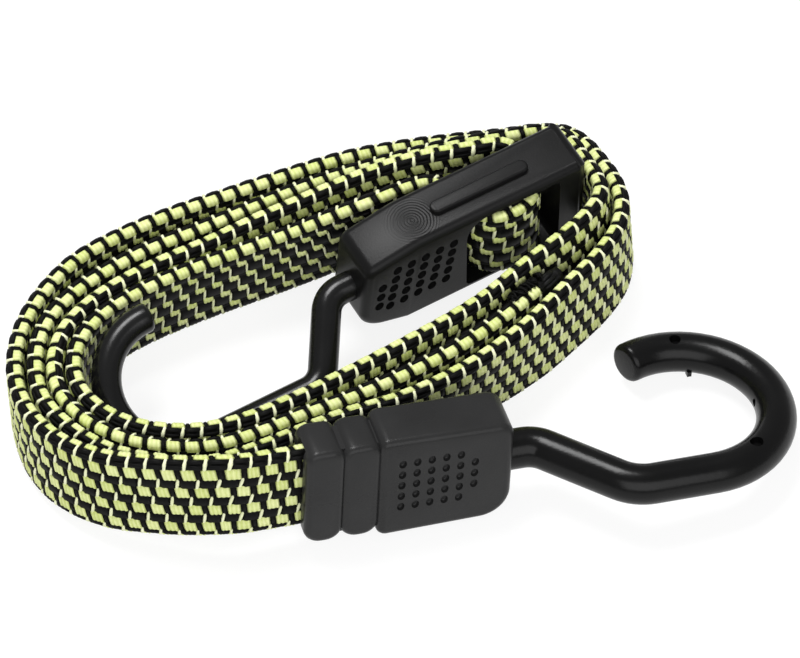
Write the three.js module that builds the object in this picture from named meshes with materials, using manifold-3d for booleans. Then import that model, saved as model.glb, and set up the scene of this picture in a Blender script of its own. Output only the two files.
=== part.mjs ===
// Flat elastic cord coiled on the floor: a woven strap with rubber strands inside, a moulded
// housing with a large coated wire hook on its fixed end, and a slotted adjuster with a smaller
// coated wire hook, through which the other end is threaded so that it hangs free as a tail.
// Millimetres, +Z up, strap standing on its edge on the floor at z = 0.
import * as THREE from 'three';
import { mergeVertices } from 'three/addons/utils/BufferGeometryUtils.js';
import Module from 'manifold-3d';

const wasm = await Module();
wasm.setup();

// Strap section: a woven cover around a row of flat rubber strands.
const STRAP_WIDTH = 20;
const STRAP_THICKNESS = 3.4;
const STRAP_EDGE = 0.9;
const COVER_WALL = 0.6;
const STRAND_COUNT = 4;
const STRAND_GAP = 0.25;
const STRETCH_GAP = 0.7;
const BINDING_LENGTH = 4;
const STATIONS_PER_POINT = 1.6;

// Clearances between neighbouring solids.
const FIT_GAP = 0.3;
const SLOT_GAP = 0.45;
const SLOT_HEIGHT = STRAP_WIDTH + 2 * SLOT_GAP;
const SLOT_THICKNESS = STRAP_THICKNESS + 2 * SLOT_GAP;

// Middle line of the coil from the housing to the adjuster.
const COIL_ROUTE = [
  [-33.5, -54, 16.4], [-40, -53.8, 15.9], [-47, -52.7, 14.9],
  [-56.8, -50, 13.3], [-65.9, -43.9, 11.6], [-72.2, -34.9, 10.6], [-74.9, -23, 10.2],
  [-72.9, -11, 10.2], [-65.4, 1.7, 10.2], [-57.8, 8, 10.2], [-46.5, 14.6, 10.2],
  [-34.7, 20, 10.2], [-20, 26.4, 10.2], [-10, 30.2, 10.2], [0, 32.6, 10.2], [10, 34.4, 10.2],
  [20, 35.7, 10.2], [29, 37.1, 10.2], [34.6, 36.5, 10.2], [38.2, 33.3, 10.2],
  [40.8, 29.1, 10.2], [43.3, 24.4, 10.2], [44.8, 18.2, 10.2], [43.8, 10.4, 10.2], [39.3, 2.4, 10.2],
  [33.6, -4.5, 10.2], [26.5, -12.6, 10.2], [17, -21, 10.2], [8, -27.6, 10.2],
  [0, -32.4, 10.2], [-10, -36.8, 10.2], [-18, -40.8, 10.2], [-26, -45, 10.2],
  [-35.8, -48.9, 10.2], [-45.8, -48.6, 10.2], [-55.4, -46, 10.2], [-63.2, -40.4, 10.2],
  [-68.9, -32.5, 10.2], [-70.9, -23, 10.2], [-69.4, -13.2, 10.2], [-64, -5, 10.2],
  [-57.3, 0.9, 10.2], [-49.2, 6.4, 10.2], [-41, 10.6, 10.2], [-31, 16, 10.2],
  [-20.9, 21.4, 10.2], [-14.8, 24.2, 10.3], [-6, 27.1, 10.9], [3, 28.9, 12.4],
  [12, 30.3, 14], [20, 31.5, 14.6], [26.4, 32.8, 14.6], [30.6, 33.2, 14.6], [33.8, 31.8, 14.6],
  [35.8, 28.7, 14.6], [37.6, 25.2, 14.6], [39.5, 21.3, 14.6], [40.6, 17.4, 14.6], [39.5, 13.2, 14.6],
  [36.6, 8.8, 14.5], [31.6, 3.9, 13.9], [25.4, -0.5, 12.6], [17.7, -6.1, 10.7], [7.8, -13.4, 10.2],
  [0, -18.8, 10.2], [-8, -24.2, 10.2], [-15, -29, 10.2], [-21, -33, 10.2],
  [-28.5, -37.6, 10.2], [-37, -40.7, 10.2], [-45, -41, 10.2], [-52.4, -39, 10.2],
  [-58, -35, 10.2], [-62, -29.4, 10.2], [-63.4, -23, 10.2], [-62.2, -16.6, 10.2],
  [-57.9, -10.2, 10.2], [-50.6, -4.4, 10.2], [-40.5, 1.2, 10.3], [-30, 5.6, 11],
  [-20, 9.2, 12.4],
];

// Middle line of the tail, from the adjuster back along the coil to its free end.
const TAIL_ROUTE = [
  [4, 24.6, 16.3], [-4, 22.9, 14.6], [-13, 19.7, 13], [-20, 16.6, 12], [-29.6, 12, 11],
  [-38.8, 6.9, 10.3], [-46.9, 2.5, 10.2], [-54.4, -2.4, 10.2], [-60.8, -8, 10.2],
  [-65.6, -15, 10.2], [-67.2, -23, 10.2], [-65.5, -31, 10.2], [-60.6, -37.8, 10.2],
  [-53.8, -42.5, 10.2], [-45.4, -44.8, 10.2], [-36.4, -44.8, 10.2], [-27.5, -41.5, 10.2],
  [-19, -36.9, 10.2], [-10, -32.2, 10.2], [0, -26.2, 10.2], [9, -20.4, 10.2],
  [18, -13.4, 10.2], [25.4, -7, 10.2], [28.6, -4, 10.2],
];

// Middle line through the adjuster: distance from its hook end, then distance towards its front.
const LOOP_ROUTE = [
  [12, -10.2], [19, -9.6], [22.9, -8.2], [24.9, -5.2], [25.5, -1.5], [26.4, 2.4], [29, 5.2],
  [33, 5.9], [36.9, 5.2], [39.5, 2.6], [40.4, -1], [41.2, -4.8], [40.6, -7.6], [38.4, -9.8],
  [34, -11.2],
];

// Housing on the fixed end: its own x axis points at the hook from the middle of its end face.
const HOUSING_AT = new THREE.Vector3(20.21, -39.59, 11.62);
const HOUSING_TURN = [15.55, 4.89, -8.28];
const BLOCK_LENGTH = 26.8;
const BLOCK_WALL = 1.8;
const BLOCK_HEIGHT = SLOT_HEIGHT + 2 * BLOCK_WALL;
const BLOCK_TAPER = 0.6;
const BLOCK_THICKNESS = 11.2;
const BLOCK_NOSE_TOP_R = 3;
const BLOCK_NOSE_LOW_R = 6;
const BLOCK_HEEL_R = 2;
const BLOCK_EDGE = 0.9;
const RIB_LENGTH = 7.8;
const RIB_WALL = 1.15;
const RIB_HEIGHT = SLOT_HEIGHT + 2 * RIB_WALL;
const RIB_THICKNESS = 10.2;
const RIB_ROUND = 2;
const RIB_CORNER_R = 2.4;
const RIB_OVERLAP = 0.6;
const STRAP_IN_HOUSING = 19;
const END_STRETCH_OUT = 6.8;
const END_LEAD = 3;
const NECK_WALL = 1.2;
const NECK_TOP_WALL = 0.4;
const NECK_IN_BLOCK = 2;

// Large hook: wire, coat, and the flat route of its middle line.
const BIG_WIRE_D = 5;
const BIG_COAT_D = 8;
const BIG_HOOK = {
  side: -1, inside: 13, lead: 5, bend: 6, jog: 45, root: 15.8, knee: 9, run: 12.5, loop: 17.7, sweep: 205,
};

// Adjuster: its own x axis points at its hook from the middle of its hook end.
const ADJUSTER_AT = new THREE.Vector3(-9.1, -0.65, 15.1);
const ADJUSTER_TURN = [210, 3, -5];
const ADJUSTER_LENGTH = 50.5;
const ADJUSTER_WALL = 1.85;
const ADJUSTER_HEIGHT = SLOT_HEIGHT + 2 * ADJUSTER_WALL;
const ADJUSTER_THICKNESS = 12.2;
const ADJUSTER_BACK = 0.5;
const ADJUSTER_NOSE = 12;
const ADJUSTER_NOSE_DROP = 2.6;
const ADJUSTER_NOSE_LEAN = 1.5;
const ADJUSTER_NOSE_LIFT = 6;
const ADJUSTER_CHIN = [2.2, 3.2];
const ADJUSTER_EDGE = 1.2;
const WINDOW_START = 22.6;
const WINDOW_END = 44;
const LOOP_LEAD_IN = 6;
const LOOP_LEAD_OUT = 4;
const BAR_AT = 33;
const BAR_FORWARD = 0.6;
const BAR_R = 2.8;
const BAR_WIDTH = 7.6;
const BLOCK_CHAMFER = 2.5;
const PILL_START = 19;
const PILL_END = 38;
const PILL_WIDTH = 3;
const PILL_RISE = 1.1;

// Small hook.
const SMALL_WIRE_D = 4;
const SMALL_COAT_D = 6;
const SMALL_HOOK = {
  side: 1, inside: 15, lead: 4.5, bend: 5.4, jog: 59, root: 11.6, knee: 5.6, run: 22.9, loop: 13.5, sweep: 186,
};
const SMALL_HOOK_TWIST = -25;

const FABRIC = { color: 0x2a2e18, roughness: 0.9 };
const LATEX = { color: 0xc9b27a, roughness: 0.7 };
const SEALED = { color: 0x111111, roughness: 0.6 };
const MOULDED = { color: 0x161616, roughness: 0.5 };
const COATING = { color: 0x121212, roughness: 0.4 };
const STEEL = { color: 0x9a9a9e, roughness: 0.35, metalness: 1 };

const cord = new THREE.Group();

function addPiece(name, geometry, look) {
  const mesh = new THREE.Mesh(geometry, new THREE.MeshStandardMaterial(look));
  mesh.name = name;
  cord.add(mesh);
}

function toSolid(geometry) {
  const bare = geometry.clone();
  bare.deleteAttribute('normal');
  bare.deleteAttribute('uv');
  const merged = mergeVertices(bare, 1e-4);
  const vertProperties = new Float32Array(merged.attributes.position.array);
  const triVerts = new Uint32Array(merged.index.array);
  return new wasm.Manifold(new wasm.Mesh({ numProp: 3, vertProperties, triVerts }));
}

function toGeometry(solid) {
  const mesh = solid.getMesh();
  const geometry = new THREE.BufferGeometry();
  geometry.setAttribute('position', new THREE.BufferAttribute(new Float32Array(mesh.vertProperties), 3));
  geometry.setIndex(new THREE.BufferAttribute(new Uint32Array(mesh.triVerts), 1));
  return geometry;
}

function boxSolid(low, high) {
  const box = new THREE.BoxGeometry(high[0] - low[0], high[1] - low[1], high[2] - low[2]);
  box.translate((low[0] + high[0]) / 2, (low[1] + high[1]) / 2, (low[2] + high[2]) / 2);
  return toSolid(box);
}

function frameOf(at, turn) {
  const angles = turn.map(THREE.MathUtils.degToRad);
  const euler = new THREE.Euler(angles[2], angles[1], angles[0], 'ZYX');
  return new THREE.Matrix4().makeRotationFromEuler(euler).setPosition(at);
}

// A closed outline with straight cut corners.
function cutCornerShape(width, height, corner) {
  const w = width / 2;
  const h = height / 2;
  const shape = new THREE.Shape();
  shape.moveTo(-w + corner, -h);
  shape.lineTo(w - corner, -h);
  shape.lineTo(w, -h + corner);
  shape.lineTo(w, h - corner);
  shape.lineTo(w - corner, h);
  shape.lineTo(-w + corner, h);
  shape.lineTo(-w, h - corner);
  shape.lineTo(-w, -h + corner);
  shape.closePath();
  return shape;
}

function rectangle(x0, y0, x1, y1, Kind) {
  const outline = new Kind();
  outline.moveTo(x0, y0);
  outline.lineTo(x1, y0);
  outline.lineTo(x1, y1);
  outline.lineTo(x0, y1);
  outline.closePath();
  return outline;
}

// Strap stretches. A route is followed by its own points, so that bends get closer stations,
// and the strap's width stays upright along it.
class StrapRoute extends THREE.CatmullRomCurve3 {
  getUtoTmapping(u) {
    return u;
  }

  computeFrenetFrames(segments) {
    const frames = { tangents: [], normals: [], binormals: [] };
    for (let i = 0; i <= segments; i += 1) {
      const tangent = this.getTangentAt(i / segments);
      const normal = new THREE.Vector3(0, 0, -1).projectOnPlane(tangent).normalize();
      frames.tangents.push(tangent);
      frames.normals.push(normal);
      frames.binormals.push(new THREE.Vector3().crossVectors(tangent, normal));
    }
    return frames;
  }
}

function addStretch(name, route, steps, place) {
  const along = { steps, extrudePath: route, bevelEnabled: false };
  const holeWidth = STRAP_WIDTH - 2 * COVER_WALL;
  const holeThickness = STRAP_THICKNESS - 2 * COVER_WALL;
  const section = cutCornerShape(STRAP_WIDTH, STRAP_THICKNESS, STRAP_EDGE);
  section.holes.push(rectangle(-holeWidth / 2, -holeThickness / 2, holeWidth / 2, holeThickness / 2, THREE.Path));
  addPiece(`${name}_cover`, place(new THREE.ExtrudeGeometry(section, along)), FABRIC);
  const strandPitch = (holeWidth - STRAND_GAP) / STRAND_COUNT;
  const strandHalf = holeThickness / 2 - STRAND_GAP;
  for (let i = 0; i < STRAND_COUNT; i += 1) {
    const left = -holeWidth / 2 + STRAND_GAP + i * strandPitch;
    const strand = rectangle(left, -strandHalf, left + strandPitch - STRAND_GAP, strandHalf, THREE.Shape);
    addPiece(`${name}_strand_${i + 1}`, place(new THREE.ExtrudeGeometry(strand, along)), LATEX);
  }
}

const housingFrame = frameOf(HOUSING_AT, HOUSING_TURN);
const adjusterFrame = frameOf(ADJUSTER_AT, ADJUSTER_TURN);
const inHousing = (x) => new THREE.Vector3(x, 0, 0).applyMatrix4(housingFrame);
const inAdjuster = (a, b) => new THREE.Vector3(-a, b, 0).applyMatrix4(adjusterFrame);
const vectors = (rows) => rows.map((row) => new THREE.Vector3(...row));

const mouthX = -BLOCK_LENGTH - 2 * RIB_LENGTH + 2 * RIB_OVERLAP;
const endX = mouthX - END_STRETCH_OUT;
const endRoute = new StrapRoute([
  new THREE.Vector3(-STRAP_IN_HOUSING, 0, 0),
  new THREE.Vector3((endX - STRAP_IN_HOUSING) / 2, 0, 0),
  new THREE.Vector3(endX, 0, 0),
]);
addStretch('strap_end', endRoute, 3, (geometry) => geometry.applyMatrix4(housingFrame));

const loopPoints = LOOP_ROUTE.map(([a, b]) => new THREE.Vector3(-a, b, 0));
const loopRoute = new StrapRoute(loopPoints);
addStretch('strap_loop', loopRoute, 2 * (loopPoints.length - 1), (geometry) => geometry.applyMatrix4(adjusterFrame));

// The coil and the tail run up to the loop's two ends, in line with them.
function beyondLoop(t, distance) {
  const end = loopRoute.getPoint(t);
  const out = loopRoute.getTangent(t).multiplyScalar(t > 0.5 ? distance : -distance);
  return end.add(out).applyMatrix4(adjusterFrame);
}

const coilPoints = [
  inHousing(endX - STRETCH_GAP),
  inHousing(endX - STRETCH_GAP - END_LEAD),
  ...vectors(COIL_ROUTE),
  beyondLoop(0, LOOP_LEAD_IN),
  beyondLoop(0, STRETCH_GAP),
];
const coilRoute = new StrapRoute(coilPoints);
addStretch('strap_coil', coilRoute, Math.round(STATIONS_PER_POINT * coilPoints.length), (geometry) => geometry);

const tailPoints = [beyondLoop(1, STRETCH_GAP), beyondLoop(1, LOOP_LEAD_OUT), ...vectors(TAIL_ROUTE)];
const tailRoute = new StrapRoute(tailPoints);
addStretch('strap_tail', tailRoute, Math.round(STATIONS_PER_POINT * tailPoints.length), (geometry) => geometry);

// The tail's end is sealed by a solid black end piece.
const tailEnd = tailPoints[tailPoints.length - 1];
const tailOut = tailRoute.getTangent(1);
const bindingRoute = new StrapRoute([
  tailEnd.clone().addScaledVector(tailOut, FIT_GAP),
  tailEnd.clone().addScaledVector(tailOut, FIT_GAP + BINDING_LENGTH),
]);
const bindingShape = cutCornerShape(STRAP_WIDTH, STRAP_THICKNESS, STRAP_EDGE);
const binding = new THREE.ExtrudeGeometry(bindingShape, { steps: 2, extrudePath: bindingRoute, bevelEnabled: false });
addPiece('tail_end_binding', binding, SEALED);

// Hooks: straight inside the moulding, a bend at its face, a root at the jog angle, a knee back
// to the axis, a straight run, and the open loop.
class FlatRoute extends THREE.Curve {
  constructor(path) {
    super();
    this.path = path;
  }

  getPoint(t) {
    const p = this.path.getPoint(t);
    return new THREE.Vector3(p.x, p.y, 0);
  }
}

function hookPath(hook, start) {
  const path = new THREE.Path();
  const jog = THREE.MathUtils.degToRad(hook.jog);
  let heading = 0;
  let x = 0;
  let y = 0;
  const forward = (distance) => {
    x += distance * Math.cos(heading);
    y += distance * Math.sin(heading);
    path.lineTo(x, y);
  };
  const turn = (radius, angle) => {
    const side = Math.sign(angle);
    const cx = x - side * radius * Math.sin(heading);
    const cy = y + side * radius * Math.cos(heading);
    const from = heading - side * Math.PI / 2;
    path.absarc(cx, cy, radius, from, from + angle, side < 0);
    heading += angle;
    x = cx + side * radius * Math.sin(heading);
    y = cy - side * radius * Math.cos(heading);
  };
  x = -start;
  path.moveTo(x, 0);
  if (start + hook.lead > 0) {
    forward(start + hook.lead);
  }
  turn(hook.bend, hook.side * jog);
  forward(hook.root);
  turn(hook.knee, -hook.side * jog);
  forward(hook.run);
  turn(hook.loop, -hook.side * THREE.MathUtils.degToRad(hook.sweep));
  return path;
}

function roundShape(radius, sides) {
  const shape = new THREE.Shape();
  shape.moveTo(radius, 0);
  for (let i = 1; i < sides; i += 1) {
    const angle = 2 * Math.PI * i / sides;
    shape.lineTo(radius * Math.cos(angle), radius * Math.sin(angle));
  }
  shape.closePath();
  return shape;
}

function wireAlong(path, radius, sides, steps) {
  const route = new FlatRoute(path);
  return new THREE.ExtrudeGeometry(roundShape(radius, sides), { steps, extrudePath: route, bevelEnabled: false });
}

// The coat is closed over the tip and open at the moulding, where the wire goes on inside.
function addHook(name, hook, wireD, coatD, place) {
  const coatPath = hookPath(hook, 0);
  const wireR = wireD / 2;
  const trim = (length) => hook.sweep - THREE.MathUtils.radToDeg(length / hook.loop);
  const hollowHook = { ...hook, sweep: trim(coatD / 2) };
  const coreHook = { ...hook, sweep: trim(coatD / 2 + FIT_GAP) };
  const hollow = toSolid(wireAlong(hookPath(hollowHook, 2), wireR + FIT_GAP, 8, 34));
  const coat = toSolid(wireAlong(coatPath, coatD / 2, 14, 40)).subtract(hollow);
  addPiece(`${name}_coat`, place(toGeometry(coat)), COATING);
  const core = wireAlong(hookPath(coreHook, hook.inside), wireR * 0.96, 6, 40);
  addPiece(`${name}_core`, place(core), STEEL);
}

// A hook's wire leaves the moulding through a socket for the coat and a hole for the wire.
const SOCKET_DEPTH = 1.5;
const hookShift = (frame, twist) => {
  const turn = new THREE.Matrix4().makeRotationX(THREE.MathUtils.degToRad(twist));
  const shift = new THREE.Matrix4().makeTranslation(-SOCKET_DEPTH, 0, 0);
  return new THREE.Matrix4().multiplyMatrices(frame, turn.multiply(shift));
};

function socketSolid(hook, wireD, coatD, twist) {
  const stub = { ...hook, run: 0.5, sweep: 5 };
  const mouth = toSolid(wireAlong(hookPath(stub, FIT_GAP), coatD / 2 + FIT_GAP, 16, 14));
  const hole = toSolid(wireAlong(hookPath(stub, hook.inside + FIT_GAP), wireD / 2 + FIT_GAP, 10, 20));
  const matrix = hookShift(new THREE.Matrix4(), twist);
  return toSolid(toGeometry(mouth.add(hole)).applyMatrix4(matrix));
}

addHook('fixed_hook', BIG_HOOK, BIG_WIRE_D, BIG_COAT_D, (g) => g.applyMatrix4(hookShift(housingFrame, 0)));
addHook('adjuster_hook', SMALL_HOOK, SMALL_WIRE_D, SMALL_COAT_D,
  (g) => g.applyMatrix4(hookShift(adjusterFrame, SMALL_HOOK_TWIST)));

// Housing: a block seen from its side as a rectangle with a rounded hook end, and two ribs.
function blockShape() {
  const h = BLOCK_HEIGHT / 2 - BLOCK_EDGE;
  const noseH = h - BLOCK_TAPER;
  const near = -BLOCK_EDGE;
  const far = -BLOCK_LENGTH + BLOCK_EDGE;
  const shape = new THREE.Shape();
  shape.moveTo(far + BLOCK_HEEL_R, -h);
  shape.lineTo(near - BLOCK_NOSE_LOW_R, -noseH);
  shape.absarc(near - BLOCK_NOSE_LOW_R, -noseH + BLOCK_NOSE_LOW_R, BLOCK_NOSE_LOW_R, -Math.PI / 2, 0, false);
  shape.absarc(near - BLOCK_NOSE_TOP_R, noseH - BLOCK_NOSE_TOP_R, BLOCK_NOSE_TOP_R, 0, Math.PI / 2, false);
  shape.absarc(far + BLOCK_HEEL_R, h - BLOCK_HEEL_R, BLOCK_HEEL_R, Math.PI / 2, Math.PI, false);
  shape.absarc(far + BLOCK_HEEL_R, -h + BLOCK_HEEL_R, BLOCK_HEEL_R, Math.PI, 1.5 * Math.PI, false);
  return shape;
}

function blockSolid() {
  const geometry = new THREE.ExtrudeGeometry(blockShape(), {
    depth: BLOCK_THICKNESS - 2 * BLOCK_EDGE,
    curveSegments: 6,
    bevelThickness: BLOCK_EDGE,
    bevelSize: BLOCK_EDGE,
    bevelSegments: 2,
  });
  geometry.translate(0, 0, -(BLOCK_THICKNESS - 2 * BLOCK_EDGE) / 2);
  geometry.rotateX(Math.PI / 2);
  return toSolid(geometry);
}

function ribSolid(index) {
  const w = RIB_THICKNESS / 2 - RIB_ROUND;
  const h = RIB_HEIGHT / 2 - RIB_ROUND;
  const shape = new THREE.Shape();
  const r = RIB_CORNER_R;
  shape.moveTo(-w + r, -h);
  shape.lineTo(w - r, -h);
  shape.absarc(w - r, -h + r, r, -Math.PI / 2, 0, false);
  shape.absarc(w - r, h - r, r, 0, Math.PI / 2, false);
  shape.absarc(-w + r, h - r, r, Math.PI / 2, Math.PI, false);
  shape.absarc(-w + r, -h + r, r, Math.PI, 1.5 * Math.PI, false);
  const geometry = new THREE.ExtrudeGeometry(shape, {
    depth: RIB_LENGTH - 2 * RIB_ROUND,
    curveSegments: 4,
    bevelThickness: RIB_ROUND,
    bevelSize: RIB_ROUND,
    bevelSegments: 3,
  });
  geometry.translate(0, 0, RIB_ROUND);
  geometry.rotateX(Math.PI / 2);
  geometry.rotateZ(Math.PI / 2);
  const pitch = RIB_LENGTH - RIB_OVERLAP;
  geometry.translate(mouthX + index * pitch, 0, 0);
  return toSolid(geometry);
}

const strapSlot = [SLOT_HEIGHT / 2, SLOT_THICKNESS / 2];
const neck = boxSolid(
  [mouthX + RIB_ROUND, -strapSlot[1] - NECK_WALL, -strapSlot[0] - NECK_TOP_WALL],
  [-BLOCK_LENGTH + NECK_IN_BLOCK, strapSlot[1] + NECK_WALL, strapSlot[0] + NECK_TOP_WALL],
);
const strapHole = boxSolid(
  [mouthX - 1, -strapSlot[1], -strapSlot[0]],
  [-STRAP_IN_HOUSING + FIT_GAP, strapSlot[1], strapSlot[0]],
);
const housing = blockSolid()
  .add(ribSolid(0))
  .add(ribSolid(1))
  .add(neck)
  .subtract(strapHole)
  .subtract(socketSolid(BIG_HOOK, BIG_WIRE_D, BIG_COAT_D, 0));
addPiece('end_housing', toGeometry(housing).applyMatrix4(housingFrame), MOULDED);

// Adjuster: a block with a narrowing hook end, then a window crossed by the middle bar.
function adjusterShape() {
  const h = ADJUSTER_HEIGHT / 2 - ADJUSTER_EDGE;
  const far = -ADJUSTER_LENGTH + ADJUSTER_EDGE;
  const near = -ADJUSTER_EDGE;
  const shape = new THREE.Shape();
  shape.moveTo(far, -h);
  shape.lineTo(near - ADJUSTER_NOSE, -h);
  shape.lineTo(near - ADJUSTER_CHIN[0], -h + ADJUSTER_CHIN[1]);
  shape.lineTo(near + ADJUSTER_NOSE_LEAN, -h + ADJUSTER_NOSE_LIFT);
  shape.lineTo(near, h - ADJUSTER_NOSE_DROP);
  shape.lineTo(near - ADJUSTER_NOSE, h);
  shape.lineTo(far, h);
  shape.closePath();
  return shape;
}

const adjusterBlock = new THREE.ExtrudeGeometry(adjusterShape(), {
  depth: ADJUSTER_THICKNESS - 2 * ADJUSTER_EDGE,
  bevelThickness: ADJUSTER_EDGE,
  bevelSize: ADJUSTER_EDGE,
  bevelSegments: 2,
});
adjusterBlock.translate(0, 0, -(ADJUSTER_THICKNESS - 2 * ADJUSTER_EDGE) / 2);
adjusterBlock.rotateX(Math.PI / 2);
adjusterBlock.translate(0, -ADJUSTER_BACK, 0);
const half = ADJUSTER_THICKNESS / 2 + ADJUSTER_BACK;
const windowShape = new THREE.Shape();
windowShape.moveTo(-WINDOW_END, -half - 1);
windowShape.lineTo(-WINDOW_START + BLOCK_CHAMFER + 1, -half - 1);
windowShape.lineTo(-WINDOW_START, -half + BLOCK_CHAMFER);
windowShape.lineTo(-WINDOW_START, half + 1);
windowShape.lineTo(-WINDOW_END, half + 1);
windowShape.closePath();
const windowCut = new THREE.ExtrudeGeometry(windowShape, { depth: 2 * strapSlot[0], bevelEnabled: false });
windowCut.translate(0, 0, -strapSlot[0]);

// The outline of a straight piece with two round ends, lying along the adjuster.
function longRound(start, end, middle, radius) {
  const shape = new THREE.Shape();
  shape.absarc(-start - radius, middle, radius, -Math.PI / 2, Math.PI / 2, false);
  shape.absarc(-end + radius, middle, radius, Math.PI / 2, 1.5 * Math.PI, false);
  return shape;
}

const barShape = longRound(BAR_AT - BAR_WIDTH / 2, BAR_AT + BAR_WIDTH / 2, BAR_FORWARD, BAR_R);
const barLength = ADJUSTER_HEIGHT - 2 * ADJUSTER_EDGE;
const bar = new THREE.ExtrudeGeometry(barShape, { depth: barLength, curveSegments: 6, bevelEnabled: false });
bar.translate(0, 0, -barLength / 2);
const pillR = PILL_WIDTH / 2;
const pillShape = longRound(PILL_START - pillR, PILL_END + pillR, 0, pillR);
const pillDepth = 2 * PILL_RISE;
const pill = new THREE.ExtrudeGeometry(pillShape, { depth: pillDepth, curveSegments: 5, bevelEnabled: false });
pill.translate(0, 0, ADJUSTER_HEIGHT / 2 - PILL_RISE);
const adjuster = toSolid(adjusterBlock)
  .subtract(toSolid(windowCut))
  .add(toSolid(bar))
  .add(toSolid(pill))
  .subtract(socketSolid(SMALL_HOOK, SMALL_WIRE_D, SMALL_COAT_D, SMALL_HOOK_TWIST));
addPiece('adjuster_body', toGeometry(adjuster).applyMatrix4(adjusterFrame), MOULDED);

// The fittings' box gives the origin: the middle of its underside, on the floor.
const fittings = new THREE.Box3();
for (const piece of cord.children) {
  piece.geometry.computeBoundingBox();
  if (!piece.name.startsWith('strap_') && piece.name !== 'tail_end_binding') {
    fittings.union(piece.geometry.boundingBox);
  }
}
const centre = fittings.getCenter(new THREE.Vector3());
for (const piece of cord.children) {
  piece.geometry.translate(-centre.x, -centre.y, -fittings.min.z);
}

export default cord;
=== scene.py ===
# Looks of the flat elastic cord: woven strap, moulded fittings and coated hooks, on a white floor.
# Sizes are in millimetres and become metres when a mesh is made.
import math

import bpy
import numpy as np
from mathutils import Matrix, Vector


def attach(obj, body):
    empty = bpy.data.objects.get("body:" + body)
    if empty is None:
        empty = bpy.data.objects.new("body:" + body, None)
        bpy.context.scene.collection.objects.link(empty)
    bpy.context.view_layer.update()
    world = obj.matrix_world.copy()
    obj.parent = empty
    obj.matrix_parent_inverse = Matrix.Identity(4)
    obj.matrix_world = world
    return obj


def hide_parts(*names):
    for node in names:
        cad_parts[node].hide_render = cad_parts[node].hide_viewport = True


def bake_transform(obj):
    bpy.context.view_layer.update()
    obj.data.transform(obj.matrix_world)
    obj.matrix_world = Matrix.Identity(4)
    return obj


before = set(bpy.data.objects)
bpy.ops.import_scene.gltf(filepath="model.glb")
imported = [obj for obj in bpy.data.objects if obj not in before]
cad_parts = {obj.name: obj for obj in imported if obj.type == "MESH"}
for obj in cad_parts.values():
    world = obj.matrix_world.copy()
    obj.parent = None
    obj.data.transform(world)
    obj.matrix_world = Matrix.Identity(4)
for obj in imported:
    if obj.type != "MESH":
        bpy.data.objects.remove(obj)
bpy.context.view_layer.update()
chance = np.random.default_rng(7)

MM = 0.001
PLAN_TO_ROW = Vector((-8.6497, 12.5815, -0.0267))

# Camera: the photograph's viewing angle.
VIEW_DISTANCE = 1.0
VIEW_ELEVATION = 51
LENS = 225

# Strap: middle line of the coil and the tail, and through the adjuster.
COIL_ROUTE = [
    [-33.5, -54, 16.4], [-40, -53.8, 15.9], [-47, -52.7, 14.9],
    [-56.8, -50, 13.3], [-65.9, -43.9, 11.6], [-72.2, -34.9, 10.6], [-74.9, -23, 10.2],
    [-72.9, -11, 10.2], [-65.4, 1.7, 10.2], [-57.8, 8, 10.2], [-46.5, 14.6, 10.2],
    [-34.7, 20, 10.2], [-20, 26.4, 10.2], [-10, 30.2, 10.2], [0, 32.6, 10.2], [10, 34.4, 10.2],
    [20, 35.7, 10.2], [29, 37.1, 10.2], [34.6, 36.5, 10.2], [38.2, 33.3, 10.2],
    [40.8, 29.1, 10.2], [43.3, 24.4, 10.2], [44.8, 18.2, 10.2], [43.8, 10.4, 10.2], [39.3, 2.4, 10.2],
    [33.6, -4.5, 10.2], [26.5, -12.6, 10.2], [17, -21, 10.2], [8, -27.6, 10.2],
    [0, -32.4, 10.2], [-10, -36.8, 10.2], [-18, -40.8, 10.2], [-26, -45, 10.2],
    [-35.8, -48.9, 10.2], [-45.8, -48.6, 10.2], [-55.4, -46, 10.2], [-63.2, -40.4, 10.2],
    [-68.9, -32.5, 10.2], [-70.9, -23, 10.2], [-69.4, -13.2, 10.2], [-64, -5, 10.2],
    [-57.3, 0.9, 10.2], [-49.2, 6.4, 10.2], [-41, 10.6, 10.2], [-31, 16, 10.2],
    [-20.9, 21.4, 10.2], [-14.8, 24.2, 10.3], [-6, 27.1, 10.9], [3, 28.9, 12.4],
    [12, 30.3, 14], [20, 31.5, 14.6], [26.4, 32.8, 14.6], [30.6, 33.2, 14.6], [33.8, 31.8, 14.6],
    [35.8, 28.7, 14.6], [37.6, 25.2, 14.6], [39.5, 21.3, 14.6], [40.6, 17.4, 14.6], [39.5, 13.2, 14.6],
    [36.6, 8.8, 14.5], [31.6, 3.9, 13.9], [25.4, -0.5, 12.6], [17.7, -6.1, 10.7], [7.8, -13.4, 10.2],
    [0, -18.8, 10.2], [-8, -24.2, 10.2], [-15, -29, 10.2], [-21, -33, 10.2],
    [-28.5, -37.6, 10.2], [-37, -40.7, 10.2], [-45, -41, 10.2], [-52.4, -39, 10.2],
    [-58, -35, 10.2], [-62, -29.4, 10.2], [-63.4, -23, 10.2], [-62.2, -16.6, 10.2],
    [-57.9, -10.2, 10.2], [-50.6, -4.4, 10.2], [-40.5, 1.2, 10.3], [-30, 5.6, 11],
    [-20, 9.2, 12.4],
]
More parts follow.
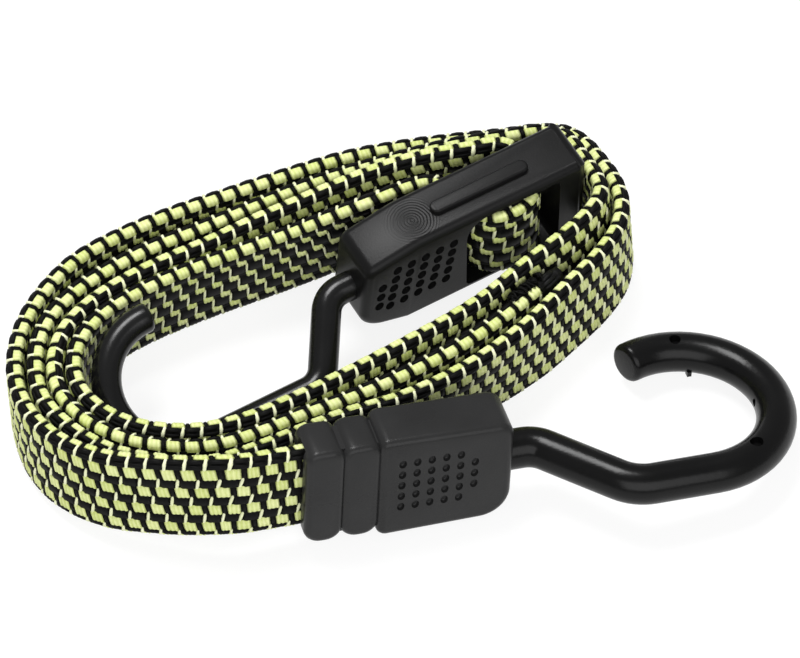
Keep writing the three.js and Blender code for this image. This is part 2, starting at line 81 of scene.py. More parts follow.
TAIL_ROUTE = [
    [4, 24.6, 16.3], [-4, 22.9, 14.6], [-13, 19.7, 13], [-20, 16.6, 12], [-29.6, 12, 11],
    [-38.8, 6.9, 10.3], [-46.9, 2.5, 10.2], [-54.4, -2.4, 10.2], [-60.8, -8, 10.2],
    [-65.6, -15, 10.2], [-67.2, -23, 10.2], [-65.5, -31, 10.2], [-60.6, -37.8, 10.2],
    [-53.8, -42.5, 10.2], [-45.4, -44.8, 10.2], [-36.4, -44.8, 10.2], [-27.5, -41.5, 10.2],
    [-19, -36.9, 10.2], [-10, -32.2, 10.2], [0, -26.2, 10.2], [9, -20.4, 10.2],
    [18, -13.4, 10.2], [25.4, -7, 10.2], [28.6, -4, 10.2],
]
LOOP_ROUTE = [
    [12, -10.2], [19, -9.6], [22.9, -8.2], [24.9, -5.2], [25.5, -1.5], [26.4, 2.4], [29, 5.2],
    [33, 5.9], [36.9, 5.2], [39.5, 2.6], [40.4, -1], [41.2, -4.8], [40.6, -7.6], [38.4, -9.8],
    [34, -11.2],
]
LOOP_MIDDLE = 7

# Points of the coil where one stretch of the strap ends and the next begins.
FRONT_SPLIT = 10
SECOND_SPLIT = 37
THIRD_SPLIT = 68

STRAP_BODY = (19.2, 2.7, 1.2)
STRAND = (4.2, 1.5)
STRAND_COUNT = 4
STRAP_STEP = 0.25
STRAP_SMOOTHING = 1.2
GROUND_STEP = 1.0
CORNER_POINTS = 13
BINDING_LENGTH = 4.3

# Lean of the strap from upright, as a share of its height: at the front, further back, and on the
# right side, where the runs lean inwards.
LEAN_FRONT = 0.12
LEAN_BACK = -0.09
LEAN_CHANGE_Y = -34
LEAN_CHANGE_RANGE = 6
LEAN_RIGHT = 0.08
LEAN_RIGHT_X = (14, 36)
LEAN_NEAR = 0.15
LEAN_NEAR_Y = (8, 26)

# Weave of the strap: rows of lime pads around the section. Each row has its place around, measured
# from the middle of the top edge, its pads' height and length, the step along the strap to the next
# row, and where on both rows the yarn that links them lies.
COLUMN = 3.68
ROWS = [
    (-0.9, 2.1, 2.75, 1.39, -1.18, 0.75),
    (3.9, 2.55, 2.5, 2.03, -1.75, 0.95), (8.4, 2.5, 2.5, 2.03, -1.75, 0.95),
    (12.9, 2.45, 2.5, 2.03, -1.75, 0.95), (17.3, 2.3, 2.5, 1.8, -1.4, 0.8),
    (20.9, 2.0, 2.5, 2.35, -1.2, 0.9),
    (24.9, 1.45, 2.2, 1.65, -0.95, 1.1), (29.1, 1.45, 2.2, 1.65, -0.95, 1.1),
    (33.3, 1.45, 2.2, 1.65, -0.95, 1.1), (37.5, 1.45, 2.2, 1.82, -1.0, 1.1),
]
TOP_ROW = 0
FRONT_ROWS = (1, 2, 3, 4)
PAD_SLANT = 0.35
YARN_JITTER = 0.03
PAD_RISE = 0.36
BLACK_RISE = 0.24
LINK_HALF = 0.37
BACK_LINK_HALF = 0.29
LINK_RISE = 0.36
EDGE_RIBS = (0.8, 1.95)
FRAY_COUNT = 150
FRAY_LENGTH = 8
FRAY_DEPTH = 5
FRAY_RISE = 1.5

# Housing on the fixed end and its hook.
HOUSING_AT = (20.21, -39.59, 11.62)
HOUSING_TURN = (15.55, 4.89, -8.28)
BLOCK = (26.8, 11.2, 24.5)
BLOCK_TAPER = 0.6
BLOCK_NOSE_TOP_R = 3
BLOCK_NOSE_LOW_R = 6
BLOCK_HEEL_R = 2
BLOCK_EDGE = 1.4
RIB = (7.8, 10.2, 23.2)
RIB_PITCH = 7.2
RIB_TOP_R = 2.6
RIB_LOW_R = 3.4
RIB_EDGE = 1.3
NECK = (6.7, 21.7)
MOUTH_X = -41.2
STRAP_START_X = -19
STRAP_OUT_X = -48.0
SLOT = (4.3, 20.9)
BIG_HOOK = dict(side=-1, inside=13, lead=5, bend=6, jog=45, root=15.8, knee=9, run=12.5,
                loop=17.7, sweep=205)
BIG_COAT_D = 8
HOUSING_DOT_START = (-22.3, 6.25)
HOUSING_DOT_PITCH = (2.9, 2.77)
HOUSING_DOT = dict(radius=0.75, stretch=1.35, depth=0.9)

# Adjuster and its hook.
ADJUSTER_AT = (-9.1, -0.65, 15.1)
ADJUSTER_TURN = (210, 3, -5)
ADJUSTER = (50.5, 12.2, 24.6)
ADJUSTER_BACK = 0.5
ADJUSTER_NOSE = 12
ADJUSTER_NOSE_DROP = 2.6
ADJUSTER_NOSE_LEAN = 1.5
ADJUSTER_NOSE_LIFT = 6
ADJUSTER_CHIN = (1.2, 2.7)
ADJUSTER_CHIN_START = 9
ADJUSTER_EDGE = 1.7
ADJUSTER_NOSE_R = 2
ADJUSTER_HEEL_R = 2.2
WINDOW_START = 22.6
WINDOW_END = 44
WINDOW_CHAMFER = 2.5
WINDOW_CORNER_R = 5
BAR_AT = 33
BAR_FORWARD = 0.6
BAR_R = 2.8
BAR_WIDTH = 7.6
PILL = (19, 38, 3, 1.1)
ADJUSTER_DOT_START = (-19.6, 6.6)
ADJUSTER_DOT_PITCH = (3.2, 2.75)
ADJUSTER_DOT_SLANT = 0.44
ADJUSTER_DOT = dict(radius=1, stretch=1.25, depth=1.6)
FLOW_MARK = (-13.2, 0, 12.3)
SMALL_HOOK = dict(side=1, inside=15, lead=4.5, bend=5.4, jog=59, root=11.6, knee=5.6, run=22.9,
                  loop=13.5, sweep=186)
SMALL_COAT_D = 6
SMALL_HOOK_TWIST = -25
SOCKET_DEPTH = 1.5
TIP_RIM = 1.1

# Marks of the mould on the large hook: middle of its loop, and pits by angle, reach, height and radius.
LOOP_CENTRE = (39.28, 2.13, 0)
PIN_PITS = ((80, 17.1, 4, 1.15), (-59, 17.5, 4, 1.35))

# Light: place, size and power of each lamp, in metres and watts.
KEY_LAMP = ((-0.25, 0.35, 1.05), (0.5, 0.4), 10.8)
FILL_LAMP = ((0.2, -1.2, 0.9), (1.8, 1.2), 14.6)
WORLD_STRENGTH = 0.3
FLOOR_GLOW = 0.86


def turned(at, turn):
    """Frame of a fitting, in millimetres of the row frame."""
    yaw, pitch, lean = (math.radians(angle) for angle in turn)
    rotation = Matrix.Rotation(yaw, 4, "Z") @ Matrix.Rotation(pitch, 4, "Y") @ Matrix.Rotation(lean, 4, "X")
    return Matrix.Translation(Vector(at) + PLAN_TO_ROW) @ rotation


HOUSING_FRAME = turned(HOUSING_AT, HOUSING_TURN)
ADJUSTER_FRAME = turned(ADJUSTER_AT, ADJUSTER_TURN)


# Camera
def add_camera():
    elevation = math.radians(VIEW_ELEVATION)
    data = bpy.data.cameras.new("camera")
    data.lens = LENS
    data.sensor_width = 36
    data.sensor_fit = "HORIZONTAL"
    camera = bpy.data.objects.new("camera", data)
    bpy.context.scene.collection.objects.link(camera)
    back = Vector((0, -math.cos(elevation), math.sin(elevation)))
    camera.location = PLAN_TO_ROW * MM + back * VIEW_DISTANCE
    camera.rotation_euler = (math.pi / 2 - elevation, 0, 0)
    bpy.context.scene.camera = camera


add_camera()


# Materials
def new_material(name):
    material = bpy.data.materials.new(name)
    material.use_nodes = True
    nodes = material.node_tree.nodes
    return material, nodes, material.node_tree.links, nodes["Principled BSDF"]


def add_bump(nodes, links, shader, height, strength, distance):
    bump = nodes.new("ShaderNodeBump")
    bump.inputs["Strength"].default_value = strength
    bump.inputs["Distance"].default_value = distance
    links.new(height, bump.inputs["Height"])
    links.new(bump.outputs["Normal"], shader.inputs["Normal"])
    return bump


def scaled_noise(nodes, links, vector, scale, detail):
    noise = nodes.new("ShaderNodeTexNoise")
    noise.inputs["Scale"].default_value = scale
    noise.inputs["Detail"].default_value = detail
    links.new(vector, noise.inputs["Vector"])
    return noise.outputs["Fac"]


def yarn_material(name, dark, light, roughness, specular):
    """Twisted yarn: fine slanting fibres in the strap's own map, and a tone for each yarn that also carries
    painted shade in the pads' grooves and towards their ends.
    """
    material, nodes, links, shader = new_material(name)
    uv = nodes.new("ShaderNodeUVMap")
    uv.uv_map = "weave"
    turn = nodes.new("ShaderNodeMapping")
    turn.inputs["Rotation"].default_value = (0, 0, math.radians(28))
    turn.inputs["Scale"].default_value = (7, 1.1, 1)
    links.new(uv.outputs["UV"], turn.inputs["Vector"])
    fibres = scaled_noise(nodes, links, turn.outputs["Vector"], 1.0, 3)
    tone_and_painted_shade = nodes.new("ShaderNodeAttribute")
    tone_and_painted_shade.attribute_name = "tone_and_painted_shade"
    blend = nodes.new("ShaderNodeMath")
    blend.operation = "MULTIPLY_ADD"
    links.new(fibres, blend.inputs[0])
    blend.inputs[1].default_value = 0.55
    links.new(tone_and_painted_shade.outputs["Fac"], blend.inputs[2])
    ramp = nodes.new("ShaderNodeValToRGB")
    ramp.color_ramp.elements[0].color = (*dark, 1)
    ramp.color_ramp.elements[0].position = 0.3
    ramp.color_ramp.elements[1].color = (*light, 1)
    ramp.color_ramp.elements[1].position = 0.95
    links.new(blend.outputs[0], ramp.inputs["Fac"])
    links.new(ramp.outputs["Color"], shader.inputs["Base Color"])
    shader.inputs["Roughness"].default_value = roughness
    shader.inputs["Specular IOR Level"].default_value = specular
    add_bump(nodes, links, shader, fibres, 0.4, 0.00006)
    return material


def ribbed_material(name):
    """Black ground of the weave: two fine lengthwise yarns in each band, and slanting fibres."""
    material, nodes, links, shader = new_material(name)
    uv = nodes.new("ShaderNodeUVMap")
    uv.uv_map = "weave"
    ribs = nodes.new("ShaderNodeTexWave")
    ribs.wave_type = "BANDS"
    ribs.bands_direction = "Y"
    ribs.inputs["Scale"].default_value = 0.36
    ribs.inputs["Distortion"].default_value = 0.6
    ribs.inputs["Detail Scale"].default_value = 1.5
    links.new(uv.outputs["UV"], ribs.inputs["Vector"])
    fibres = scaled_noise(nodes, links, uv.outputs["UV"], 2.4, 4)
    height = nodes.new("ShaderNodeMath")
    height.operation = "MULTIPLY_ADD"
    links.new(fibres, height.inputs[0])
    height.inputs[1].default_value = 0.5
    links.new(ribs.outputs["Fac"], height.inputs[2])
    ramp = nodes.new("ShaderNodeValToRGB")
    ramp.color_ramp.elements[0].color = (0.002, 0.002, 0.002, 1)
    ramp.color_ramp.elements[1].color = (0.008, 0.008, 0.0075, 1)
    links.new(fibres, ramp.inputs["Fac"])
    links.new(ramp.outputs["Color"], shader.inputs["Base Color"])
    shader.inputs["Roughness"].default_value = 0.62
    shader.inputs["Specular IOR Level"].default_value = 0.08
    add_bump(nodes, links, shader, height.outputs[0], 0.6, 0.0002)
    return material


def plastic_material(name, colour, roughness, specular, grain, grain_scale):
    """Moulded black plastic with a fine grain and slightly uneven gloss."""
    material, nodes, links, shader = new_material(name)
    place = nodes.new("ShaderNodeTexCoord").outputs["Object"]
    spots = scaled_noise(nodes, links, place, grain_scale, 3)
    clouds = scaled_noise(nodes, links, place, 90, 4)
    gloss = nodes.new("ShaderNodeMapRange")
    gloss.inputs["To Min"].default_value = roughness - 0.08
    gloss.inputs["To Max"].default_value = roughness + 0.1
    links.new(clouds, gloss.inputs["Value"])
    links.new(gloss.outputs["Result"], shader.inputs["Roughness"])
    ramp = nodes.new("ShaderNodeValToRGB")
    ramp.color_ramp.elements[0].color = (*(0.75 * c for c in colour), 1)
    ramp.color_ramp.elements[1].color = (*(1.25 * c for c in colour), 1)
    links.new(clouds, ramp.inputs["Fac"])
    links.new(ramp.outputs["Color"], shader.inputs["Base Color"])
    shader.inputs["Specular IOR Level"].default_value = specular
    add_bump(nodes, links, shader, spots, grain, 0.0001)
    return material


def flow_marked(material):
    """Fine rings around the place where the melt ran into the mould, in the moulding's own bump."""
    nodes, links = material.node_tree.nodes, material.node_tree.links
    away = nodes.new("ShaderNodeVectorMath")
    away.operation = "DISTANCE"
    links.new(nodes["Texture Coordinate"].outputs["Object"], away.inputs[0])
    away.inputs[1].default_value = (ADJUSTER_FRAME @ Vector(FLOW_MARK)) * MM
    wander = nodes.new("ShaderNodeMath")
    wander.operation = "MULTIPLY_ADD"
    links.new(nodes["Noise Texture.001"].outputs["Fac"], wander.inputs[0])
    wander.inputs[1].default_value = 0.0016
    links.new(away.outputs["Value"], wander.inputs[2])
    rings = nodes.new("ShaderNodeMath")
    rings.operation = "SINE"
    turns = nodes.new("ShaderNodeMath")
    turns.operation = "MULTIPLY"
    links.new(wander.outputs[0], turns.inputs[0])
    turns.inputs[1].default_value = 2 * math.pi / 0.0006
    links.new(turns.outputs[0], rings.inputs[0])
    fade = nodes.new("ShaderNodeMapRange")
    fade.inputs["From Min"].default_value = 0.0015
    fade.inputs["From Max"].default_value = 0.006
    fade.inputs["To Min"].default_value = 1.6
    fade.inputs["To Max"].default_value = 0
    links.new(away.outputs["Value"], fade.inputs["Value"])
    ripple = nodes.new("ShaderNodeMath")
    ripple.operation = "MULTIPLY"
    links.new(rings.outputs[0], ripple.inputs[0])
    links.new(fade.outputs["Result"], ripple.inputs[1])
    total = nodes.new("ShaderNodeMath")
    total.operation = "ADD"
    links.new(nodes["Noise Texture"].outputs["Fac"], total.inputs[0])
    links.new(ripple.outputs[0], total.inputs[1])
    links.new(total.outputs[0], nodes["Bump"].inputs["Height"])


def steel_material():
    material, nodes, links, shader = new_material("drawn_wire")
    place = nodes.new("ShaderNodeTexCoord").outputs["Object"]
    streaks = scaled_noise(nodes, links, place, 900, 3)
    shader.inputs["Base Color"].default_value = (0.55, 0.55, 0.57, 1)
    shader.inputs["Metallic"].default_value = 1
    gloss = nodes.new("ShaderNodeMapRange")
    gloss.inputs["To Min"].default_value = 0.25
    gloss.inputs["To Max"].default_value = 0.45
    links.new(streaks, gloss.inputs["Value"])
    links.new(gloss.outputs["Result"], shader.inputs["Roughness"])
    return material


def rubber_material():
    material, nodes, links, shader = new_material("latex")
    place = nodes.new("ShaderNodeTexCoord").outputs["Object"]
    clouds = scaled_noise(nodes, links, place, 400, 3)
    ramp = nodes.new("ShaderNodeValToRGB")
    ramp.color_ramp.elements[0].color = (0.42, 0.33, 0.16, 1)
    ramp.color_ramp.elements[1].color = (0.56, 0.45, 0.24, 1)
    links.new(clouds, ramp.inputs["Fac"])
    links.new(ramp.outputs["Color"], shader.inputs["Base Color"])
    shader.inputs["Roughness"].default_value = 0.7
    return material


GROUND = ribbed_material("black_ground")
LIME = yarn_material("lime_yarn", (0.6, 0.68, 0.2), (0.94, 0.97, 0.54), 0.6, 0.3)
LINK = yarn_material("lime_link", (0.7, 0.75, 0.36), (0.96, 0.97, 0.72), 0.55, 0.35)
BLACK = yarn_material("black_yarn", (0.0015, 0.0015, 0.0015), (0.006, 0.006, 0.0057), 0.55, 0.09)
MOULDING = plastic_material("moulding", (0.023, 0.023, 0.0232), 0.29, 0.17, 0.25, 2600)
LARGE_COAT = plastic_material("large_coat", (0.004, 0.004, 0.0041), 0.24, 0.2, 0.2, 1500)
SMALL_COAT = plastic_material("small_coat", (0.006, 0.006, 0.0062), 0.22, 0.3, 0.12, 1500)
SEALED = plastic_material("sealed_end", (0.005, 0.005, 0.005), 0.5, 0.15, 1.0, 1100)
ADJUSTER_LOOK = plastic_material("adjuster_moulding", (0.009, 0.009, 0.0091), 0.32, 0.12, 0.2, 2600)
flow_marked(ADJUSTER_LOOK)
STEEL = steel_material()
LATEX = rubber_material()


# Strap: its middle line, and the frame that carries its section along it
def curve_through(points):
    """Smooth curve through the points, as the solids' routes have it."""
    ends = [2 * points[0] - points[1], 2 * points[-1] - points[-2]]
    chain = [ends[0], *points, ends[1]]
    t = np.linspace(0, 1, 40, endpoint=False)[:, None]
    parts = []
    for p0, p1, p2, p3 in zip(chain, chain[1:], chain[2:], chain[3:]):
        d0, d1, d2 = (math.sqrt(np.linalg.norm(b - a)) for a, b in ((p0, p1), (p1, p2), (p2, p3)))
        m1 = d1 * ((p1 - p0) / d0 - (p2 - p0) / (d0 + d1) + (p2 - p1) / d1)
        m2 = d1 * ((p2 - p1) / d1 - (p3 - p1) / (d1 + d2) + (p3 - p2) / d2)
        rise = 3 * t ** 2 - 2 * t ** 3
        parts.append(p1 * (1 - rise) + p2 * rise + m1 * (t ** 3 - 2 * t ** 2 + t) + m2 * (t ** 3 - t ** 2))
    parts.append(points[-1][None, :])
    return np.vstack(parts)


def lengths_along(line):
    return np.concatenate([[0], np.cumsum(np.linalg.norm(np.diff(line, axis=0), axis=1))])


def smoothed(rows, reach):
    """Rows averaged along their length, with both ends carried on straight."""
    count = int(4 * reach / STRAP_STEP)
    weights = np.exp(-0.5 * (np.arange(-count, count + 1) * STRAP_STEP / reach) ** 2)
    weights /= weights.sum()
    before = 2 * rows[0] - rows[count:0:-1]
    after = 2 * rows[-1] - rows[-2:-count - 2:-1]
    padded = np.vstack([before, rows, after])
    return np.stack([np.convolve(column, weights, "valid") for column in padded.T], axis=1)


def unit(rows):
    return rows / np.linalg.norm(rows, axis=1, keepdims=True)


def step_up(x, low, high):
    t = np.clip((x - low) / (high - low), 0, 1)
    return t * t * (3 - 2 * t)


def strap_points():
    housing_x = (STRAP_START_X, -33, STRAP_OUT_X, STRAP_OUT_X - 3.7)
    in_housing = [HOUSING_FRAME @ Vector((x, 0, 0)) for x in housing_x]
    coil = [Vector(p) + PLAN_TO_ROW for p in COIL_ROUTE]
    loop = [ADJUSTER_FRAME @ Vector((-a, b, 0)) for a, b in LOOP_ROUTE]
    tail = [Vector(p) + PLAN_TO_ROW for p in TAIL_ROUTE]
    end = tail[-1] + (tail[-1] - tail[-2]).normalized() * BINDING_LENGTH
    points = [np.array(p) for p in in_housing + coil + loop + tail + [end]]
    marks = [len(in_housing) + len(coil) + i for i in (0, LOOP_MIDDLE, len(loop) - 1)]
    return points, marks


ROUTE, LOOP_MARKS = strap_points()
rough = curve_through(ROUTE)
rough_s = lengths_along(rough)
even_s = np.arange(0, rough_s[-1], STRAP_STEP)
even = np.stack([np.interp(even_s, rough_s, rough[:, i]) for i in range(3)], axis=1)
MIDDLE = smoothed(even, STRAP_SMOOTHING)
ALONG = lengths_along(MIDDLE)
STRAP_LENGTH = ALONG[-1]


def nearest_s(point):
    return float(ALONG[np.argmin(np.linalg.norm(MIDDLE - np.array(point), axis=1))])


LOOP_START, LOOP_TURN, LOOP_END = (nearest_s(ROUTE[i]) for i in LOOP_MARKS)


def strap_up():
    """Direction of the strap's width: set by the fittings inside them, leaning a little elsewhere."""
    back = (1 + np.tanh((MIDDLE[:, 1] - PLAN_TO_ROW.y - LEAN_CHANGE_Y) / LEAN_CHANGE_RANGE)) / 2
    lean = LEAN_FRONT * (1 - back) + LEAN_BACK * back
    right = step_up(MIDDLE[:, 0] - PLAN_TO_ROW.x, *LEAN_RIGHT_X)
    near = 1 - step_up(MIDDLE[:, 1] - PLAN_TO_ROW.y, *LEAN_NEAR_Y)
    lean += LEAN_NEAR * right * near
    free = np.stack([-LEAN_RIGHT * right, lean, 1 + 0 * lean], axis=1)
    housing = np.array(HOUSING_FRAME.to_3x3() @ Vector((0, 0, 1)))
    adjuster = np.array(ADJUSTER_FRAME.to_3x3() @ Vector((0, 0, 1)))
    near_housing = 1 - step_up(ALONG, 30, 75)
    near_loop = step_up(ALONG, LOOP_START - 30, LOOP_START) * (1 - step_up(ALONG, LOOP_END, LOOP_END + 30))
    mixed = free * (1 - near_housing - near_loop)[:, None]
    mixed += housing * near_housing[:, None] + adjuster * near_loop[:, None]
    return smoothed(mixed, 5)


TANGENT = unit(np.gradient(MIDDLE, axis=0))
upward = strap_up()
UP = unit(upward - TANGENT * np.sum(upward * TANGENT, axis=1, keepdims=True))
OUT = np.cross(UP, TANGENT)


def on_line(table, s):
    return np.stack([np.interp(s, ALONG, table[:, i]) for i in range(3)], axis=-1)


def section_table():
    """Points and outward directions around the strap's section, from the top edge over the front face."""
    width, thickness, r = STRAP_BODY
    corners = [(1, 1, 90, 0), (1, -1, 0, -90), (-1, -1, -90, -180), (-1, 1, -180, -270)]
    places = [(0, width / 2)]
    normals = [(0, 1)]
    for side, height, start, stop in corners:
        for angle in np.radians(np.linspace(start, stop, CORNER_POINTS)):
            normal = (math.cos(angle), math.sin(angle))
            centre = (side * (thickness / 2 - r), height * (width / 2 - r))
            places.append((centre[0] + r * normal[0], centre[1] + r * normal[1]))
            normals.append(normal)
    places.append(places[0])
    normals.append(normals[0])
    places = np.array(places)
    return lengths_along(places), places, np.array(normals)


AROUND, SECTION, SECTION_NORMAL = section_table()
GIRTH = AROUND[-1]


def strap_place(s, p, h):
    """Points at a distance s along the strap, p around its section and h above its surface."""
    p = np.mod(p, GIRTH)
    out = np.interp(p, AROUND, SECTION[:, 0]) + h * np.interp(p, AROUND, SECTION_NORMAL[:, 0])
    up = np.interp(p, AROUND, SECTION[:, 1]) + h * np.interp(p, AROUND, SECTION_NORMAL[:, 1])
    return on_line(MIDDLE, s) + out[..., None] * on_line(OUT, s) + up[..., None] * on_line(UP, s)


class Mesh:
    """Quads with a map, a tone with painted shade and a material each, gathered from many small shapes."""

    def __init__(self):
        self.points = []
        self.faces = []
        self.maps = []
        self.tones_and_painted_shade = []
        self.kinds = []
        self.count = 0

    def add(self, points, faces, maps, tones_and_painted_shade, kind):
        self.points.append(points)
        self.faces.append(faces + self.count)
        self.maps.append(maps)
        self.tones_and_painted_shade.append(tones_and_painted_shade)
        self.kinds.append(np.full(len(faces), kind))
        self.count += len(points)

    def make(self, name, materials):
        points = np.vstack(self.points) * MM
        faces = np.vstack(self.faces)
        mesh = bpy.data.meshes.new(name)
        mesh.vertices.add(len(points))
        mesh.vertices.foreach_set("co", points.astype(np.float32).ravel())
        mesh.loops.add(faces.size)
        mesh.loops.foreach_set("vertex_index", faces.astype(np.int32).ravel())
        mesh.polygons.add(len(faces))
        mesh.polygons.foreach_set("loop_start", np.arange(0, faces.size, 4, dtype=np.int32))
        mesh.update(calc_edges=True)
        mesh.polygons.foreach_set("material_index", np.concatenate(self.kinds).astype(np.int32))
        mesh.polygons.foreach_set("use_smooth", np.ones(len(faces), dtype=bool))
        weave = mesh.uv_layers.new(name="weave")
        weave.data.foreach_set("uv", np.vstack(self.maps).astype(np.float32).ravel())
        tone_and_painted_shade = mesh.attributes.new("tone_and_painted_shade", "FLOAT", "POINT")
        tone_and_painted_shade.data.foreach_set("value", np.concatenate(self.tones_and_painted_shade).astype(np.float32))
        for material in materials:
            mesh.materials.append(material)
        obj = bpy.data.objects.new(name, mesh)
        bpy.context.scene.collection.objects.link(obj)
        return obj


def ring_faces(rings, sides):
    """Quads between rings of points, and over both ends."""
    faces = []
    for i in range(rings - 1):
        for j in range(sides):
            k = (j + 1) % sides
            faces.append((i * sides + j, i * sides + k, (i + 1) * sides + k, (i + 1) * sides + j))
    last = (rings - 1) * sides
    for j in range(sides // 2 - 1):
        loop = (j, j + 1, sides - 2 - j, sides - 1 - j)
        faces.append(tuple(reversed(loop)))
        faces.append(tuple(last + k for k in loop))
    return np.array(faces)


YARN_SIDES = 6
YARN_STATIONS = [(0, 0.55, -0.3), (0.14, 0.9, -0.04), (0.5, 1, 0.02), (0.86, 0.9, -0.04), (1, 0.55, -0.3)]


def yarn_shape(start, end, half, rise):
    """One short rounded yarn from start to end, each (along, around), sinking in at both ends."""
    start, end = np.array(start, float), np.array(end, float)
    way = end - start
    length = np.linalg.norm(way)
    across = np.array((-way[1], way[0])) / length
    points = []
    maps = []
    for share, size, lift in YARN_STATIONS:
        middle = start + share * way
        for j in range(YARN_SIDES):
            angle = 2 * math.pi * j / YARN_SIDES
            side = middle + across * half * size * math.cos(angle)
            points.append((*side, lift + rise * size * math.sin(angle)))
            maps.append((half * angle, share * length))
    return np.array(points), np.array(maps), np.zeros(len(points))


YARN_FACES = ring_faces(len(YARN_STATIONS), YARN_SIDES)


PAD_STATIONS = [(-1, 0, -0.18), (-0.78, 0.85, 0), (0, 1, 0.03), (0.78, 0.85, 0), (1, 0, -0.18)]
PAD_LOBES = 3
PAD_SIDES = 2 * PAD_LOBES + 2


def pad_shape(length, height, slant, rise, groove):
    """Yarns side by side across the strap's length, with scalloped ends that sink in."""
    points = []
    maps = []
    tones_and_painted_shade = []
    for share, swell, lift in PAD_STATIONS:
        for j in range(PAD_SIDES - 1):
            ridge = j % 2
            edge = j in (0, PAD_SIDES - 2)
            across = (j / (PAD_SIDES - 2) - 0.5) * length
            tall = height / 2 * share + math.copysign(0.17 if ridge else -0.22, share) * abs(share)
            high = rise * swell * (1 if ridge else 0.25 if edge else groove) + lift
            points.append((across - slant * share / 2, tall, high))
            maps.append((across, tall))
            # Painted shade: the tone is darker in the grooves between the yarns, at the pad's sides and
            # towards its scalloped ends.
            tones_and_painted_shade.append((0 if ridge else -0.26) - 0.16 * abs(share) ** 3)
        points.append((-slant * share / 2, height / 2 * share, -0.5))
        maps.append((0, 0))
        tones_and_painted_shade.append(0)
    return np.array(points), np.array(maps), np.array(tones_and_painted_shade)


PAD_FACES = ring_faces(len(PAD_STATIONS), PAD_SIDES)


def scatter(mesh, shape, places, kind, jitter):
    """Copies of a yarn or a pad at the given places, each a little different."""
    points, maps, tones_and_painted_shade = shape
    if len(places) == 0:
        return
    one = YARN_FACES if len(points) == len(YARN_STATIONS) * YARN_SIDES else PAD_FACES
    places = np.array(places, float)
    moved = places + chance.normal(0, jitter, places.shape)
    s = moved[:, :1] + points[None, :, 0]
    p = moved[:, 1:] + points[None, :, 1]
    h = np.broadcast_to(points[None, :, 2], s.shape) + chance.normal(0, 0.015, (len(places), 1))
    inside = np.clip(s, 0.05, STRAP_LENGTH - 0.05)
    placed = strap_place(inside, p, h).reshape(-1, 3)
    faces = (one[None] + len(points) * np.arange(len(places))[:, None, None]).reshape(-1, 4)
    shift = chance.uniform(0, 50, (len(places), 1, 2))
    maps = (maps[None] + shift).reshape(-1, 2)[faces]
    # A random tone for each copy, plus the shape's painted shade in its grooves and at its ends.
    shade = (chance.uniform(0.28, 0.52, (len(places), 1)) + tones_and_painted_shade[None]).ravel()
    mesh.add(placed, faces, maps.reshape(-1, 2), shade, kind)


def add_ground(mesh, low, high):
    """The strap's body, which carries the yarns that show."""
    rings = int((high - low) / GROUND_STEP) + 1
    s = np.linspace(low, high, rings)
    corners = [AROUND[1 + k * CORNER_POINTS:1 + (k + 1) * CORNER_POINTS:4] for k in range(4)]
    flats = [np.linspace(AROUND[k * CORNER_POINTS], AROUND[k * CORNER_POINTS + 1], 8) for k in (1, 3)]
    p = np.unique(np.concatenate([AROUND[[0]], *corners, *flats]))
    if len(p) % 2:
        p = np.delete(p, -1)
    sides = len(p)
    grid_s, grid_p = np.meshgrid(s, p, indexing="ij")
    points = strap_place(grid_s, grid_p, 0 * grid_s).reshape(-1, 3)
    faces = ring_faces(rings, sides)[:, ::-1]
    s_of = np.repeat(s, sides)
    p_of = np.tile(p, rings)
    p_corner = p_of[faces]
    wraps = p_corner.max(axis=1) - p_corner.min(axis=1) > GIRTH / 2
    p_corner = np.where(wraps[:, None] & (p_corner < GIRTH / 2), p_corner + GIRTH, p_corner)
    maps = np.stack([s_of[faces], p_corner], axis=-1).reshape(-1, 2)
    mesh.add(points, faces, maps, np.full(len(points), 0.4), 0)


def column_places(low, high, shift, p):
    first = math.ceil((low - shift) / COLUMN)
    last = math.ceil((high - shift) / COLUMN)
    return [(k * COLUMN + shift, p) for k in range(first, last)]


def add_yarns(mesh, low, high):
    """Lime pads and the yarns that link them around the strap, with black pads between the links."""
    shift = 0
    for row, (p, height, length, step, leave, arrive) in enumerate(ROWS):
        slant = PAD_SLANT if height > 1.8 else 0.2
        groove = 0.85 if row == TOP_ROW else 0.45
        columns = column_places(low, high, shift, p)
        scatter(mesh, pad_shape(length, height, slant, PAD_RISE, groove), columns, 1, YARN_JITTER)
        if row == TOP_ROW or row in FRONT_ROWS:
            foot = (COLUMN / 2 + slant / 2, -height / 2)
            head = (COLUMN / 2 - slant / 2, height / 2)
            scatter(mesh, yarn_shape(foot, head, 0.42, BLACK_RISE), columns, 3, YARN_JITTER)
        following = ROWS[(row + 1) % len(ROWS)]
        down = (following[0] - p) % GIRTH
        band = (height / 2, down - following[1] / 2)
        half = LINK_HALF if row == TOP_ROW or row in FRONT_ROWS else BACK_LINK_HALF
        link = yarn_shape((leave, band[0] - 0.3), (arrive - step, band[1] + 0.35), half, LINK_RISE)
        scatter(mesh, link, columns, 2, YARN_JITTER)
        middle = (leave + arrive - step) / 2 + COLUMN / 2
        if row == TOP_ROW:
            for rib in EDGE_RIBS:
                shape = yarn_shape((middle + 1.5, rib - p), (middle - 1.5, rib - p), 0.56, 0.4)
                scatter(mesh, shape, columns, 3, YARN_JITTER)
        else:
            shape = pad_shape(COLUMN - 0.75, band[1] - band[0] + 0.3, PAD_SLANT / 2, BLACK_RISE, 0.8)
            places = column_places(low, high, shift + middle, p + sum(band) / 2)
            scatter(mesh, shape, places, 3, YARN_JITTER)
        shift -= step


